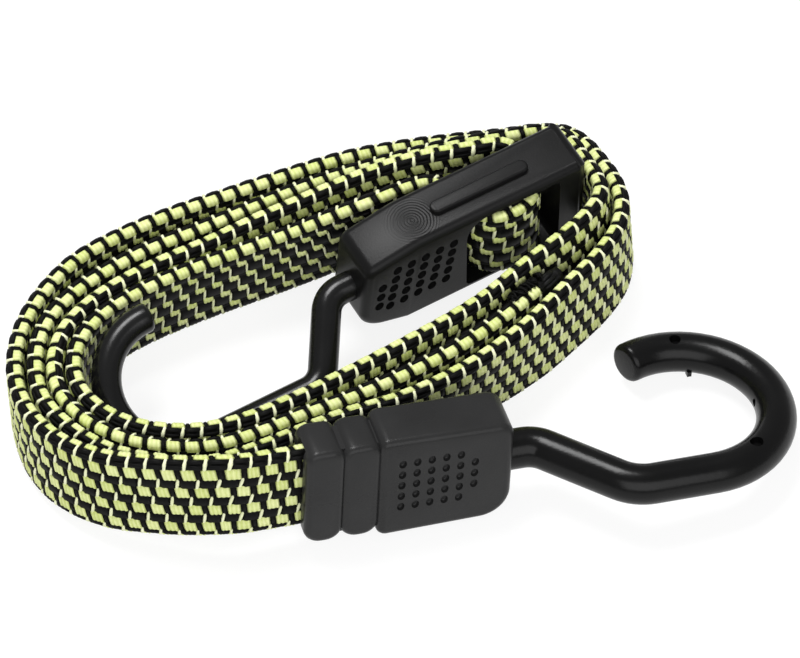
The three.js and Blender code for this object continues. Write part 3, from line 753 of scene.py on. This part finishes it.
def add_fray(mesh, end):
    """Loosened black yarns that stand off the face by the top edge, before the sealed end."""
    for _ in range(FRAY_COUNT):
        turn = chance.uniform(0, 2 * math.pi)
        reach = chance.uniform(0.5, 1.1)
        way = np.array((reach * math.cos(turn), reach * math.sin(turn)))
        points, maps, tones_and_painted_shade = yarn_shape(-way, way, 0.24, 0.24)
        points[:, 2] += chance.uniform(0.3, FRAY_RISE)
        place = (end + chance.uniform(-FRAY_LENGTH, 0.5), chance.uniform(0.4, FRAY_DEPTH))
        scatter(mesh, (points, maps, tones_and_painted_shade), [place], 3, 0)


def add_strap(name, low, high, nodes, frayed=False):
    mesh = Mesh()
    add_ground(mesh, low, high)
    add_yarns(mesh, low, high - 0.3 if frayed else high)
    if frayed:
        add_fray(mesh, high)
    obj = mesh.make(name, [GROUND, LIME, LINK, BLACK])
    if nodes:
        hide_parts(*nodes)
    return obj


def add_strands(name, low, high, group):
    """Flat rubber strands side by side inside the strap."""
    objects = []
    s = np.linspace(low, high, int((high - low) / 3) + 2)
    width, thickness = STRAND
    pitch = (STRAP_BODY[0] - 1.2) / STRAND_COUNT
    for i in range(STRAND_COUNT):
        middle = (i - (STRAND_COUNT - 1) / 2) * pitch
        corners = [(thickness / 2, middle + width / 2), (thickness / 2, middle - width / 2),
                   (-thickness / 2, middle - width / 2), (-thickness / 2, middle + width / 2)]
        rings = [on_line(MIDDLE, s) + out * on_line(OUT, s) + up * on_line(UP, s) for out, up in corners]
        points = np.stack(rings, axis=1).reshape(-1, 3)
        mesh = Mesh()
        faces = ring_faces(len(s), 4)[:, ::-1]
        mesh.add(points, faces, np.zeros((faces.size, 2)), np.full(len(points), 0.5), 0)
        obj = mesh.make(f"{name}_{i + 1}", [LATEX])
        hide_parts(*(f"strap_{part}_strand_{i + 1}" for part in group))
        objects.append(obj)
    return objects


FRONT_END = nearest_s(Vector(COIL_ROUTE[FRONT_SPLIT]) + PLAN_TO_ROW)
TURN_2_END = nearest_s(Vector(COIL_ROUTE[SECOND_SPLIT]) + PLAN_TO_ROW)
TURN_3_END = nearest_s(Vector(COIL_ROUTE[THIRD_SPLIT]) + PLAN_TO_ROW)
COVER_END = STRAP_LENGTH - BINDING_LENGTH

front = add_strap("strap_front", 0, FRONT_END, ["strap_end_cover"])
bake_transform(front)
second = add_strap("strap_second_turn", FRONT_END, TURN_2_END, ["strap_coil_cover"])
third = add_strap("strap_third_turn", TURN_2_END, TURN_3_END, [])
inner = add_strap("strap_to_adjuster", TURN_3_END, LOOP_TURN, ["strap_loop_cover"])
tail = add_strap("strap_tail", LOOP_TURN, COVER_END, ["strap_tail_cover"], frayed=True)
for obj in (second, third, inner, tail):
    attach(obj, "coil")
for obj in add_strands("strand_front", 0.5, FRONT_END - 0.2, ["end"]):
    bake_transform(obj)
for obj in add_strands("strand_coil", FRONT_END + 0.2, LOOP_START, ["coil"]):
    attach(obj, "coil")
for obj in add_strands("strand_loop", LOOP_START + 0.4, LOOP_END, ["loop"]):
    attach(obj, "coil")
for obj in add_strands("strand_tail", LOOP_END + 0.4, COVER_END - 0.2, ["tail"]):
    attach(obj, "coil")


# Tail end: melted black end of the weave with loose fibres
def add_binding():
    mesh = Mesh()
    add_ground(mesh, COVER_END + 0.05, STRAP_LENGTH)
    for p in np.arange(0, GIRTH, 0.95):
        reach = chance.uniform(2.6, BINDING_LENGTH - 0.2)
        shape = yarn_shape((-0.8, 0), (reach, chance.uniform(-0.4, 0.4)), 0.5, chance.uniform(0.3, 0.5))
        scatter(mesh, shape, [(COVER_END, p)], 0, YARN_JITTER)
    obj = mesh.make("tail_end", [SEALED])
    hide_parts("tail_end_binding")
    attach(obj, "coil")


add_binding()


# Modelling helpers for the fittings, which are made in their own frames
def active(obj):
    bpy.ops.object.select_all(action="DESELECT")
    obj.select_set(True)
    bpy.context.view_layer.objects.active = obj


def start_cube(name, low, high):
    bpy.ops.object.select_all(action="DESELECT")
    middle = [(a + b) / 2 for a, b in zip(low, high)]
    bpy.ops.mesh.primitive_cube_add(size=1, location=middle)
    obj = bpy.context.object
    obj.name = name
    obj.scale = [b - a for a, b in zip(low, high)]
    bpy.ops.object.transform_apply(location=True, rotation=True, scale=True)
    return obj


def start_cylinder(name, radius, depth, at, rotation, sides, stretch=1):
    bpy.ops.object.select_all(action="DESELECT")
    bpy.ops.mesh.primitive_cylinder_add(vertices=sides, radius=radius, depth=depth,
                                        location=at, rotation=rotation)
    obj = bpy.context.object
    obj.name = name
    obj.scale = (1, stretch, 1)
    bpy.ops.object.transform_apply(location=True, rotation=True, scale=True)
    return obj


def bevel_edges(obj, chosen, width, segments):
    """Rounds the edges that pass the test on their two end points."""
    active(obj)
    bpy.ops.object.mode_set(mode="EDIT")
    bpy.ops.mesh.select_mode(type="EDGE")
    bpy.ops.mesh.select_all(action="DESELECT")
    bpy.ops.object.mode_set(mode="OBJECT")
    points = obj.data.vertices
    for edge in obj.data.edges:
        edge.select = chosen(points[edge.vertices[0]].co, points[edge.vertices[1]].co)
    bpy.ops.object.mode_set(mode="EDIT")
    bpy.ops.mesh.bevel(offset=width, segments=segments, affect="EDGES", clamp_overlap=True)
    bpy.ops.object.mode_set(mode="OBJECT")


def cut_off(obj, point, normal):
    """Cuts the shape by a plane and closes it, taking away the side the normal points to."""
    active(obj)
    bpy.ops.object.mode_set(mode="EDIT")
    bpy.ops.mesh.select_all(action="SELECT")
    facing = Vector(normal).normalized()
    bpy.ops.mesh.bisect(plane_co=point, plane_no=facing, use_fill=True, clear_outer=True)
    bpy.ops.object.mode_set(mode="OBJECT")


def combine(obj, other, operation):
    active(obj)
    modifier = obj.modifiers.new("combine", "BOOLEAN")
    modifier.operation = operation
    modifier.solver = "EXACT"
    modifier.object = other
    bpy.ops.object.modifier_apply(modifier=modifier.name)
    bpy.data.objects.remove(other)


def joined(objects):
    bpy.ops.object.select_all(action="DESELECT")
    for obj in objects:
        obj.select_set(True)
    bpy.context.view_layer.objects.active = objects[0]
    bpy.ops.object.join()
    return objects[0]


def seat(obj, place, material, node, body, smooth_angle=35):
    """Shades a finished fitting, puts it in its place, and lets it stand for its solid."""
    active(obj)
    bpy.ops.object.shade_smooth_by_angle(angle=math.radians(smooth_angle))
    obj.data.transform(Matrix.Scale(MM, 4) @ place)
    obj.data.materials.clear()
    obj.data.materials.append(material)
    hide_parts(node)
    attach(obj, body)


# Hooks: a circle carried along the hook's flat route
def carry(distance, heading):
    step = (distance * math.cos(heading), distance * math.sin(heading), 0)
    bpy.ops.mesh.extrude_region_move(TRANSFORM_OT_translate={"value": step})


def add_hook(name, hook, radius):
    bpy.ops.object.select_all(action="DESELECT")
    bpy.ops.mesh.primitive_circle_add(vertices=28, radius=radius, rotation=(0, math.pi / 2, 0))
    obj = bpy.context.object
    obj.name = name
    bpy.ops.object.transform_apply(location=True, rotation=True, scale=True)
    bpy.ops.object.mode_set(mode="EDIT")
    bpy.ops.mesh.select_mode(type="EDGE")
    bpy.ops.mesh.select_all(action="SELECT")
    x, y, heading = 0.0, 0.0, 0.0
    jog = math.radians(hook["jog"]) * hook["side"]
    sweep = math.radians(hook["sweep"]) - TIP_RIM / hook["loop"]
    moves = [("go", hook["lead"]), ("turn", hook["bend"], jog),
             ("go", hook["root"]), ("turn", hook["knee"], -jog),
             ("go", hook["run"]), ("turn", hook["loop"], -hook["side"] * sweep)]
    for move in moves:
        if move[0] == "go":
            carry(move[1], heading)
            x += move[1] * math.cos(heading)
            y += move[1] * math.sin(heading)
        else:
            sign = math.copysign(1, move[2])
            centre = (x - sign * move[1] * math.sin(heading), y + sign * move[1] * math.cos(heading), 0)
            steps = max(6, round(abs(math.degrees(move[2])) / 6))
            bpy.ops.mesh.spin(steps=steps, angle=-move[2], center=centre, axis=(0, 0, 1))
            heading += move[2]
            x = centre[0] + sign * move[1] * math.sin(heading)
            y = centre[1] - sign * move[1] * math.cos(heading)
    rounding = np.radians((0, 22, 45, 68, 90))
    rim = [(TIP_RIM * math.sin(a), radius - TIP_RIM * (1 - math.cos(a))) for a in rounding]
    for (far, wide), (next_far, next_wide) in zip(rim, rim[1:]):
        carry(next_far - far, heading)
        bpy.ops.transform.resize(value=(next_wide / wide,) * 3)
    bpy.ops.mesh.edge_face_add()
    bpy.ops.mesh.select_all(action="SELECT")
    bpy.ops.mesh.remove_doubles(threshold=0.001)
    bpy.ops.mesh.fill_holes(sides=0)
    bpy.ops.mesh.normals_make_consistent(inside=False)
    bpy.ops.object.mode_set(mode="OBJECT")
    return obj


def hook_place(fitting, twist):
    turn = Matrix.Rotation(math.radians(twist), 4, "X")
    return fitting @ turn @ Matrix.Translation((-SOCKET_DEPTH, 0, 0))


def add_pin_marks(hook):
    """Round pits left by the mould's pins, and a nub of flash under the loop."""
    middle = Vector(LOOP_CENTRE)
    for angle, out, high, radius in PIN_PITS:
        at = middle + Vector((out * math.cos(math.radians(angle)), out * math.sin(math.radians(angle)), high))
        combine(hook, start_cylinder("pin", radius, 3, at, (0, 0, 0), 20), "DIFFERENCE")
    side = start_cylinder("pin", 0.8, 2.4, middle + Vector((13.7, -0.9, 0.4)), (0, math.pi / 2, 0), 16)
    combine(hook, side, "DIFFERENCE")
    nub = middle + Vector((5.2, 13.4, -2.5))
    half = Vector((0.45, 0.6, 0.55))
    combine(hook, start_cube("nub", nub - half, nub + half), "UNION")


big_hook = add_hook("large_hook", BIG_HOOK, BIG_COAT_D / 2)
add_pin_marks(big_hook)
seat(big_hook, hook_place(HOUSING_FRAME, 0), LARGE_COAT, "fixed_hook_coat", "fixed_end", 60)
small_hook = add_hook("small_hook", SMALL_HOOK, SMALL_COAT_D / 2)
seat(small_hook, hook_place(ADJUSTER_FRAME, SMALL_HOOK_TWIST), SMALL_COAT, "adjuster_hook_coat",
     "adjuster", 60)


# Housing: rounded block with a dotted front, and two ribs at the strap's end
def along_axis(a, b, axis):
    d = [abs(v) for v in (a - b)]
    return d[axis] > 0.99 * math.sqrt(sum(v * v for v in d))


def add_dots(face_y, out, spots, radius, stretch, depth):
    cutters = [start_cylinder("dot", radius, 2 * depth, (x, face_y, z), (math.pi / 2, 0, 0), 16, stretch)
               for x, z in spots]
    for cutter in cutters:
        bevel_edges(cutter, lambda a, b: abs(a.y - b.y) < 0.01 and (a.y - face_y) * out < 0, 0.5 * radius, 3)
    return joined(cutters)


def add_housing():
    length, thickness, height = BLOCK
    y, z = thickness / 2, height / 2
    block = start_cube("housing", (-length, -y, -z), (0, y, z))
    for side in (1, -1):
        cut_off(block, (-length - 0.5, 0, side * z), (BLOCK_TAPER, 0, side * length))
    bevel_edges(block, lambda a, b: along_axis(a, b, 1) and a.x > -1 and a.z > 0, BLOCK_NOSE_TOP_R, 8)
    bevel_edges(block, lambda a, b: along_axis(a, b, 1) and a.x > -1 and a.z < 0, BLOCK_NOSE_LOW_R, 12)
    bevel_edges(block, lambda a, b: along_axis(a, b, 1) and a.x < 1 - length, BLOCK_HEEL_R, 6)
    bevel_edges(block, lambda a, b: abs(a.y - b.y) < 0.01, BLOCK_EDGE, 4)
    for i in range(2):
        start = MOUTH_X + i * RIB_PITCH
        rib = start_cube("rib", (start, -RIB[1] / 2, -RIB[2] / 2), (start + RIB[0], RIB[1] / 2, RIB[2] / 2))
        bevel_edges(rib, lambda a, b: along_axis(a, b, 1) and a.z > 0, RIB_TOP_R, 8)
        bevel_edges(rib, lambda a, b: along_axis(a, b, 1) and a.z < 0, RIB_LOW_R, 8)
        bevel_edges(rib, lambda a, b: abs(a.y - b.y) < 0.01, RIB_EDGE, 4)
        combine(block, rib, "UNION")
    half, tall = NECK[0] / 2, NECK[1] / 2
    neck = start_cube("neck", (MOUTH_X + 1.5, -half, -tall), (2 - length, half, tall))
    combine(block, neck, "UNION")
    half, tall = SLOT[0] / 2, SLOT[1] / 2
    slot = start_cube("slot", (MOUTH_X - 1, -half, -tall), (STRAP_START_X + 0.3, half, tall))
    combine(block, slot, "DIFFERENCE")
    (first_x, first_z), (pitch_x, pitch_z) = HOUSING_DOT_START, HOUSING_DOT_PITCH
    spots = [(first_x + pitch_x * i, first_z - pitch_z * j) for i in range(5) for j in range(5)]
    spots += [(-7.8, 3.8 - 2.83 * j) for j in range(3)]
    combine(block, add_dots(-y, -1, spots, **HOUSING_DOT), "DIFFERENCE")
    seat(block, HOUSING_FRAME, MOULDING, "end_housing", "fixed_end")


add_housing()


# Adjuster: block with a sloping hook end, a window crossed by a round bar, and a raised rib on top
def add_adjuster():
    length, thickness, height = ADJUSTER
    front, rear, z = thickness / 2 - ADJUSTER_BACK, -thickness / 2 - ADJUSTER_BACK, height / 2
    body = start_cube("adjuster", (-length, rear, -z), (ADJUSTER_NOSE_LEAN + 1, front, z))
    cut_off(body, (-ADJUSTER_NOSE, 0, z), (ADJUSTER_NOSE_DROP, 0, ADJUSTER_NOSE))
    chin_x, chin_z = -ADJUSTER_CHIN[0], -z + ADJUSTER_CHIN[1]
    cut_off(body, (-ADJUSTER_CHIN_START, 0, -z), (ADJUSTER_CHIN[1], 0, -ADJUSTER_CHIN_START - chin_x))
    cut_off(body, (chin_x, 0, chin_z), (-z + ADJUSTER_NOSE_LIFT - chin_z, 0, -ADJUSTER_NOSE_LEAN + chin_x))
    tall = 2 * z - ADJUSTER_NOSE_DROP - ADJUSTER_NOSE_LIFT
    cut_off(body, (0, 0, z - ADJUSTER_NOSE_DROP), (tall, 0, ADJUSTER_NOSE_LEAN))
    bevel_edges(body, lambda a, b: along_axis(a, b, 1) and a.x > 1 - ADJUSTER_CHIN_START, ADJUSTER_NOSE_R, 6)
    bevel_edges(body, lambda a, b: max(a.x, b.x) < 0.1 - length, ADJUSTER_HEEL_R, 8)
    bevel_edges(body, lambda a, b: abs(a.y - b.y) < 0.01 and min(abs(a.y - front), abs(a.y - rear)) < 0.01
                and max(a.x, b.x) > ADJUSTER_HEEL_R + 0.1 - length, ADJUSTER_EDGE, 6)
    tall = SLOT[1] / 2
    window = start_cube("window", (-WINDOW_END, rear - 2, -tall), (-WINDOW_START, front + 2, tall))
    bevel_edges(window, lambda a, b: along_axis(a, b, 1) and a.x > -WINDOW_START - 1 and a.z > 0,
                WINDOW_CORNER_R, 8)
    bevel_edges(window, lambda a, b: along_axis(a, b, 1) and (a.x < 1 - WINDOW_END or a.z < -1), 1.2, 5)
    combine(body, window, "DIFFERENCE")
    wedge = start_cube("wedge", (-WINDOW_START - 1, rear - 2, -tall), (-WINDOW_START + 6, front + 2, tall))
    cut_off(wedge, (-WINDOW_START, rear + WINDOW_CHAMFER, 0), (WINDOW_CHAMFER, WINDOW_CHAMFER + 1, 0))
    combine(body, wedge, "DIFFERENCE")
    side = BAR_WIDTH / 2
    bar = start_cube("bar", (-BAR_AT - side, BAR_FORWARD - BAR_R, 0.5 - z),
                     (-BAR_AT + side, BAR_FORWARD + BAR_R, z - 0.5))
    bevel_edges(bar, lambda a, b: along_axis(a, b, 2), BAR_R - 0.05, 8)
    combine(body, bar, "UNION")
    start, end, width, rise = PILL
    pill = start_cube("pill", (-end - width / 2, -width / 2, z - 1),
                      (-start + width / 2, width / 2, z + rise))
    bevel_edges(pill, lambda a, b: along_axis(a, b, 2), width / 2 - 0.02, 8)
    bevel_edges(pill, lambda a, b: abs(a.z - b.z) < 0.01 and a.z > z, 0.7, 5)
    combine(body, pill, "UNION")
    (first_x, first_z), (pitch_x, pitch_z) = ADJUSTER_DOT_START, ADJUSTER_DOT_PITCH
    spots = [(first_x + pitch_x * i + ADJUSTER_DOT_SLANT * j, first_z - pitch_z * j)
             for i in range(5) for j in range(5)]
    spots += [(-3.4 + 0.4 * j, 2.9 - 2.9 * j) for j in range(3)]
    combine(body, add_dots(front, 1, spots, **ADJUSTER_DOT), "DIFFERENCE")
    seat(body, ADJUSTER_FRAME, ADJUSTER_LOOK, "adjuster_body", "adjuster")


add_adjuster()

for name in ("fixed_hook_core", "adjuster_hook_core"):
    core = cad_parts[name]
    core.data.materials.clear()
    core.data.materials.append(STEEL)


# Floor and light
def add_floor():
    bpy.ops.mesh.primitive_plane_add(size=8, location=(0, 0, 0))
    floor = bpy.context.object
    floor.name = "floor"
    material, nodes, links, shader = new_material("floor")
    nodes.remove(shader)
    glow = nodes.new("ShaderNodeEmission")
    glow.inputs["Strength"].default_value = FLOOR_GLOW
    matt = nodes.new("ShaderNodeBsdfDiffuse")
    matt.inputs["Color"].default_value = (0.8, 0.8, 0.8, 1)
    faint = nodes.new("ShaderNodeBsdfDiffuse")
    faint.inputs["Color"].default_value = (0.2, 0.2, 0.2, 1)
    seen = nodes.new("ShaderNodeAddShader")
    links.new(glow.outputs[0], seen.inputs[0])
    links.new(faint.outputs[0], seen.inputs[1])
    path = nodes.new("ShaderNodeLightPath")
    direct = nodes.new("ShaderNodeMath")
    direct.operation = "MAXIMUM"
    links.new(path.outputs["Is Camera Ray"], direct.inputs[0])
    links.new(path.outputs["Is Glossy Ray"], direct.inputs[1])
    mix = nodes.new("ShaderNodeMixShader")
    links.new(direct.outputs[0], mix.inputs[0])
    links.new(matt.outputs[0], mix.inputs[1])
    links.new(seen.outputs[0], mix.inputs[2])
    links.new(mix.outputs[0], nodes["Material Output"].inputs["Surface"])
    floor.data.materials.append(material)


def add_lamp(name, at, size, power):
    data = bpy.data.lights.new(name, "AREA")
    data.shape = "RECTANGLE"
    data.size, data.size_y = size
    data.energy = power
    lamp = bpy.data.objects.new(name, data)
    bpy.context.scene.collection.objects.link(lamp)
    lamp.location = at
    lamp.rotation_euler = (-Vector(at)).to_track_quat("-Z", "Y").to_euler()


add_floor()
add_lamp("key", *KEY_LAMP)
add_lamp("fill", *FILL_LAMP)
world = bpy.data.worlds.new("studio")
world.use_nodes = True
world.node_tree.nodes["Background"].inputs["Color"].default_value = (1, 1, 1, 1)
world.node_tree.nodes["Background"].inputs["Strength"].default_value = WORLD_STRENGTH
bpy.context.scene.world = world
bpy.context.scene.view_settings.view_transform = "Standard"
